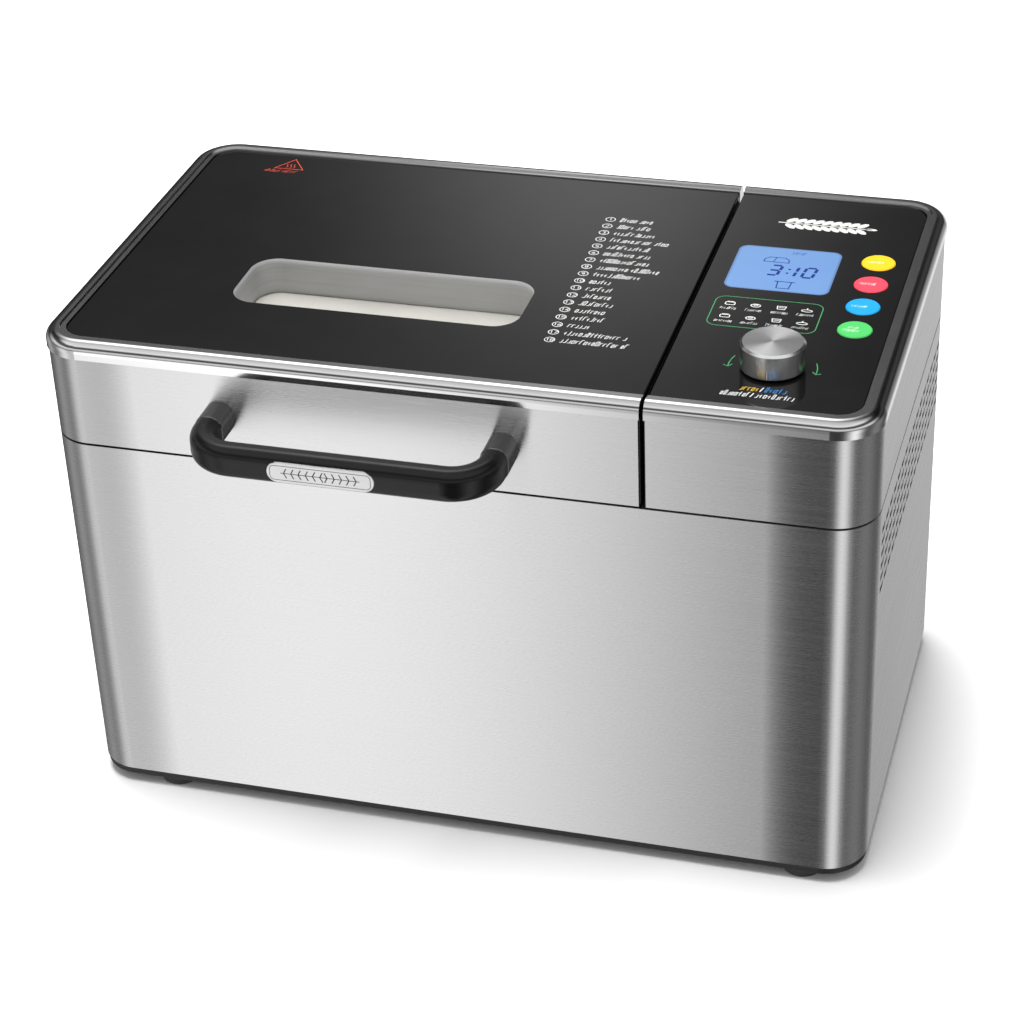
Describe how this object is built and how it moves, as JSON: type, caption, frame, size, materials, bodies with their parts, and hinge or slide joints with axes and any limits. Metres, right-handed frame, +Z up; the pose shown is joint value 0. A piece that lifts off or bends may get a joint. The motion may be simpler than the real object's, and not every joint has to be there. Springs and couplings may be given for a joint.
{
  "type": "bread machine",
  "caption": "Counter-top bread machine: steel housing, hinged windowed lid with bar handle, control head with display, keys and dial; removable pan and belt-driven paddle inside.",
  "frame": {"origin": "under the middle of the overall box, on the surface the machine stands on", "axes": "+X to the right seen from the front, the front faces -Y, +Z up"},
  "size_m": [0.4066, 0.2904, 0.2738],
  "materials": {
    "brushed_steel": "horizontally brushed",
    "rim_metal": "polished",
    "black_plastic": "fine moulded texture",
    "foot_rubber": "matt",
    "cover_sheet": "satin black",
    "zinc_steel": "bright zinc plated",
    "chamber_sheet": "aluminised, dull",
    "heater_tube": "heat-darkened steel sheath",
    "pan_coating": "non-stick coating, speckled satin",
    "wire_steel": "drawn bright wire",
    "paddle_coating": "non-stick coating",
    "shaft_steel": "ground",
    "cast_metal": "die cast",
    "white_plastic": "moulded",
    "belt_rubber": "ribbed",
    "motor_paint": "satin grey",
    "board": "lacquered circuit board",
    "components": "moulded cases",
    "panel_glass": "clear toughened glass",
    "display_face": "backlit blue",
    "key_yellow": "gloss",
    "key_red": "gloss",
    "key_blue": "gloss",
    "key_green": "gloss",
    "dial_metal": "turned face, polished edge",
    "plunger_plastic": "moulded",
    "collar_metal": "satin",
    "seal_silicone": "silicone",
    "post_metal": "dark polished",
    "grip_plastic": "satin black",
    "plate_metal": "satin silver"
  },
  "bodies": {
    "body": {"housing": "brushed_steel", "base": "black_plastic", "feet": "foot_rubber", "rear_cover": "cover_sheet", "cover_screws": "zinc_steel", "cord_gland": "black_plastic", "deck": "black_plastic", "chamber": "chamber_sheet", "heater": "heater_tube", "heater_clips": "zinc_steel", "temperature_sensor": "zinc_steel", "pan_seat": "zinc_steel", "bearing_housing": "cast_metal", "belt": "belt_rubber", "motor_case": "motor_paint", "motor_bracket": "zinc_steel", "power_board": "board", "power_parts": "components", "head_skirt": "brushed_steel", "head_rim": "rim_metal", "head_glass": "panel_glass", "head_frame": "black_plastic", "display": "display_face", "control_board": "board", "key_switches": "components", "dial_encoder": "components", "hinge_brackets": "black_plastic", "hinge_pins": "zinc_steel"},
    "lid": {"lid_skirt": "brushed_steel", "lid_rim": "rim_metal", "lid_glass": "panel_glass", "lid_frame": "black_plastic", "lid_lining": "chamber_sheet", "window_pane": "panel_glass", "window_collar": "collar_metal", "lid_seal": "seal_silicone", "handle_posts": "post_metal", "handle_grip": "grip_plastic", "handle_plate": "plate_metal", "hinge_arms": "black_plastic"},
    "pan": {"pan": "pan_coating", "pan_foot": "pan_coating", "pan_bush": "cast_metal"},
    "bail": {"pan_bail": "wire_steel"},
    "paddle": {"paddle_shaft": "shaft_steel", "kneading_paddle": "paddle_coating"},
    "drive": {"drive_shaft": "zinc_steel", "drive_dog": "cast_metal", "drive_pulley": "white_plastic"},
    "rotor": {"motor_rotor": "shaft_steel", "motor_pulley": "cast_metal"},
    "key_yellow": {"key_1": "key_yellow"},
    "key_red": {"key_2": "key_red"},
    "key_blue": {"key_3": "key_blue"},
    "key_green": {"key_4": "key_green"},
    "dial_stem": {"dial_plunger": "plunger_plastic"},
    "dial_knob": {"dial": "dial_metal", "dial_shaft": "dial_metal"}
  },
  "joints": [
    {"name": "lid_hinge", "type": "hinge", "parent": "body", "child": "lid", "pos_m": [-0.0535, 0.13965, 0.208], "axis": [-1, 0, 0], "range_deg": [0, 100]},
    {"name": "pan_twist", "type": "hinge", "parent": "body", "child": "pan", "pos_m": [-0.0535, 0.01565, 0.06], "axis": [0, 0, 1], "range_deg": [0, 12]},
    {"name": "bail_hinge", "type": "hinge", "parent": "pan", "child": "bail", "pos_m": [-0.0535, 0.01565, 0.187], "axis": [-1, 0, 0], "range_deg": [0, 90]},
    {"name": "motor_spin", "type": "hinge", "parent": "body", "child": "rotor", "pos_m": [0.138, 0.01565, 0.03], "axis": [0, 0, 1], "continuous": true},
    {"name": "drive_spin", "type": "hinge", "parent": "body", "child": "drive", "pos_m": [-0.0535, 0.01565, 0.03], "axis": [0, 0, 1], "continuous": true},
    {"name": "paddle_spin", "type": "hinge", "parent": "pan", "child": "paddle", "pos_m": [-0.0535, 0.01565, 0.07], "axis": [0, 0, 1], "continuous": true},
    {"name": "key_yellow_press", "type": "slide", "parent": "body", "child": "key_yellow", "axis": [0, 0, -1], "range_m": [0, 0.0006], "stiffness_N_per_m": 400, "springref_m": -0.0005},
    {"name": "key_red_press", "type": "slide", "parent": "body", "child": "key_red", "axis": [0, 0, -1], "range_m": [0, 0.0006], "stiffness_N_per_m": 400, "springref_m": -0.0005},
    {"name": "key_blue_press", "type": "slide", "parent": "body", "child": "key_blue", "axis": [0, 0, -1], "range_m": [0, 0.0006], "stiffness_N_per_m": 400, "springref_m": -0.0005},
    {"name": "key_green_press", "type": "slide", "parent": "body", "child": "key_green", "axis": [0, 0, -1], "range_m": [0, 0.0006], "stiffness_N_per_m": 400, "springref_m": -0.0005},
    {"name": "dial_press", "type": "slide", "parent": "body", "child": "dial_stem", "axis": [0, 0, -1], "range_m": [0, 0.0008], "stiffness_N_per_m": 1500, "springref_m": -0.0006},
    {"name": "dial_turn", "type": "hinge", "parent": "dial_stem", "child": "dial_knob", "pos_m": [0.1463, -0.05515, 0.267], "axis": [0, 0, 1], "continuous": true}
  ],
  "couplings": [
    {"joint": "drive_spin", "follows": "motor_spin", "ratio": 0.125},
    {"joint": "paddle_spin", "follows": "motor_spin", "ratio": 0.125},
    {"joint": "bail_hinge", "follows": "lid_hinge", "ratio": 0.9}
  ]
}
